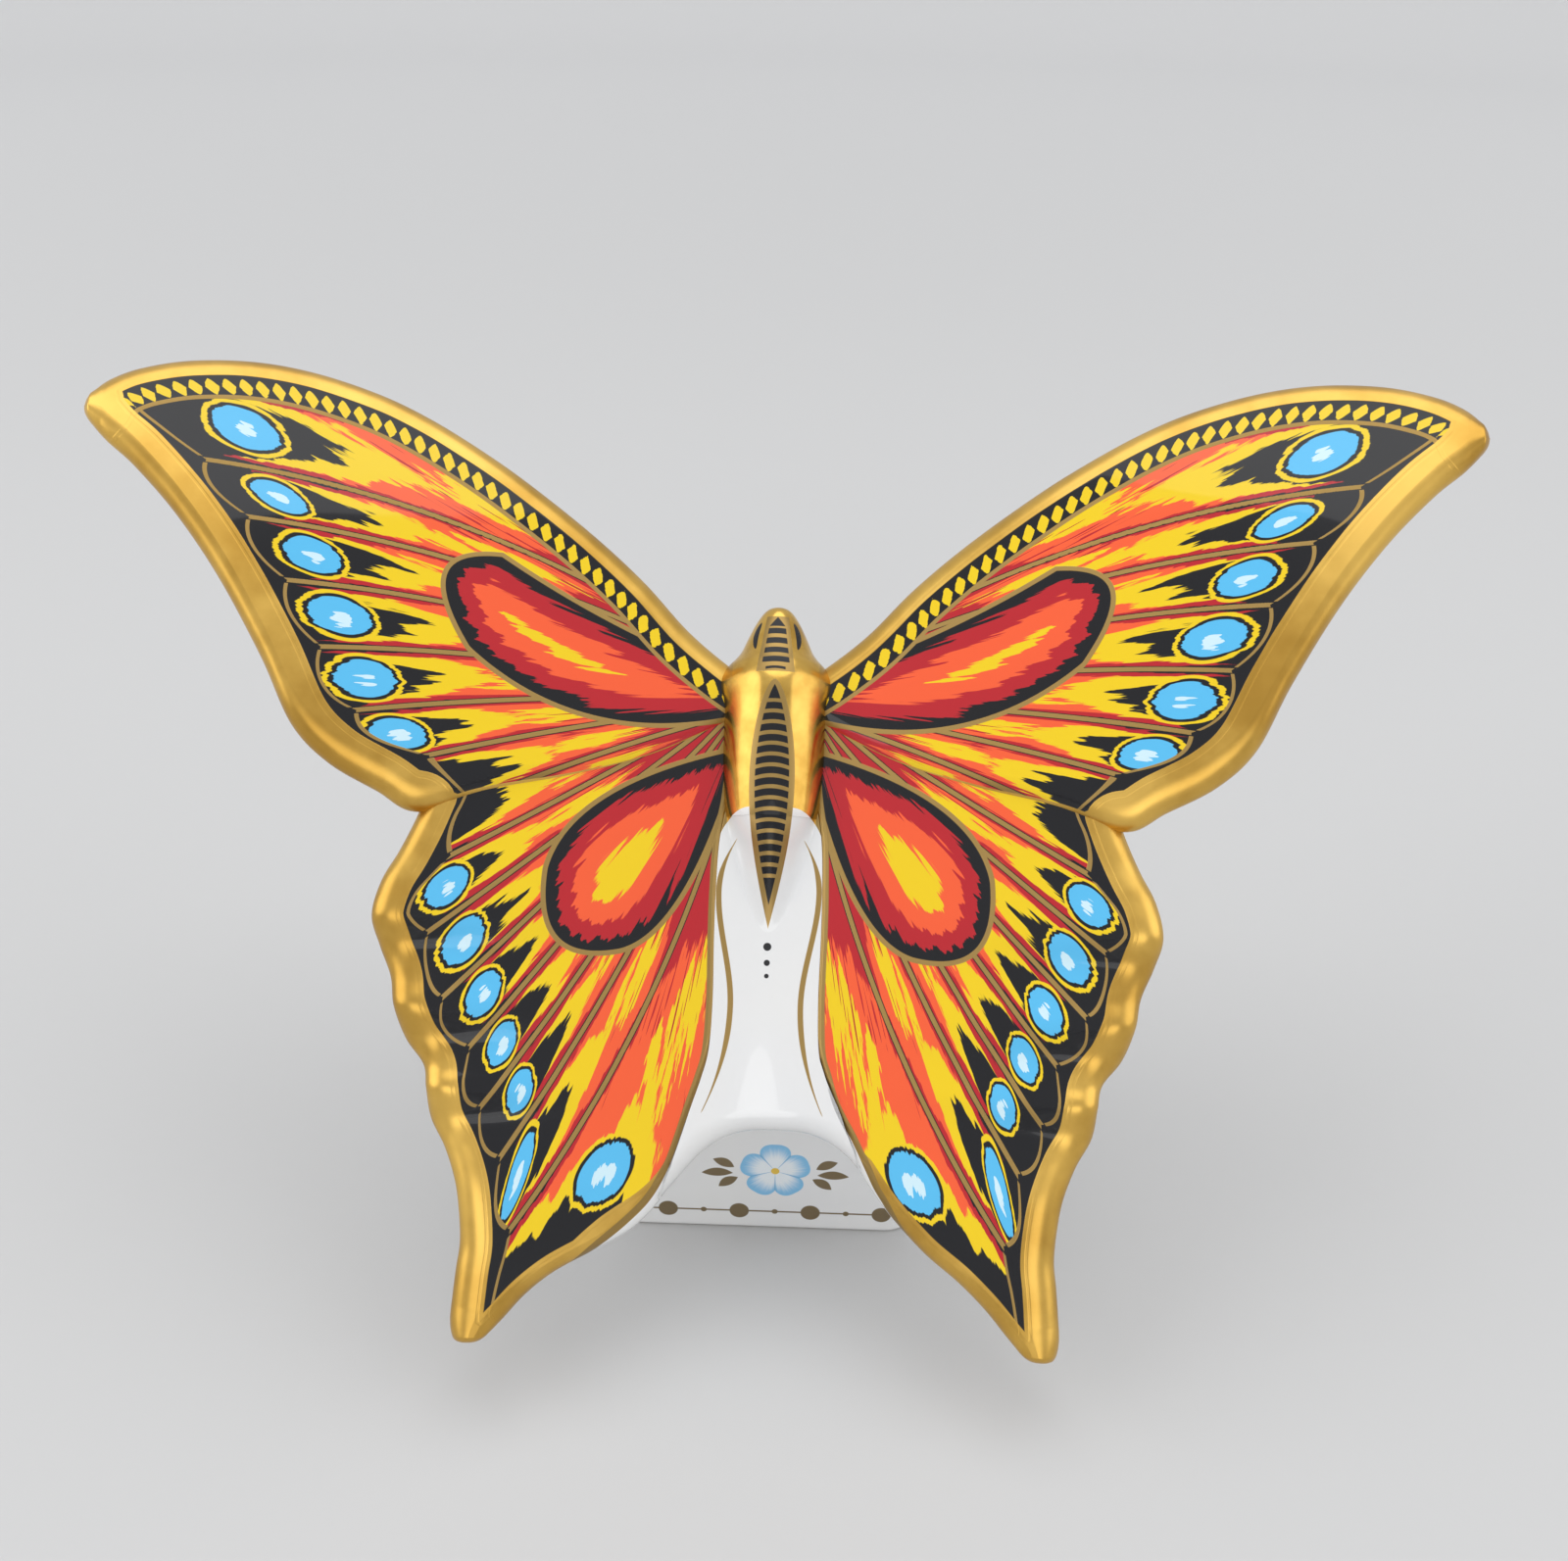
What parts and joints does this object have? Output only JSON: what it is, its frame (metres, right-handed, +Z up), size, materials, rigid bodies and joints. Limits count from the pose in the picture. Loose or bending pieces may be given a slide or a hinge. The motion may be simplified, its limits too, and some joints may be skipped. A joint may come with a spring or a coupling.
{
  "type": "butterfly ornament",
  "caption": "Fired china butterfly with painted wings and gilded rims that leans back on a hollow white pedestal, for a shelf or cabinet.",
  "frame": {"origin": "the middle of the foot, on the table", "axes": "+X to the right along the wing span, +Y to the back, +Z up; the butterfly leans back with its head up and its upper side to the front"},
  "size_m": [0.1398, 0.0613, 0.0875],
  "materials": {
    "painted_china": "gloss glaze over painted decoration, gilded rim",
    "gilding": "bright fired gold over glaze",
    "white_china": "clear gloss glaze",
    "bung": "satin"
  },
  "bodies": {
    "root": {"left_forewing": "painted_china", "right_forewing": "painted_china", "left_hindwing": "painted_china", "right_hindwing": "painted_china", "head": "gilding", "thorax": "gilding", "abdomen": "gilding", "back_panel": "white_china", "pedestal": "white_china", "vent_bung": "bung"}
  },
  "joints": []
}
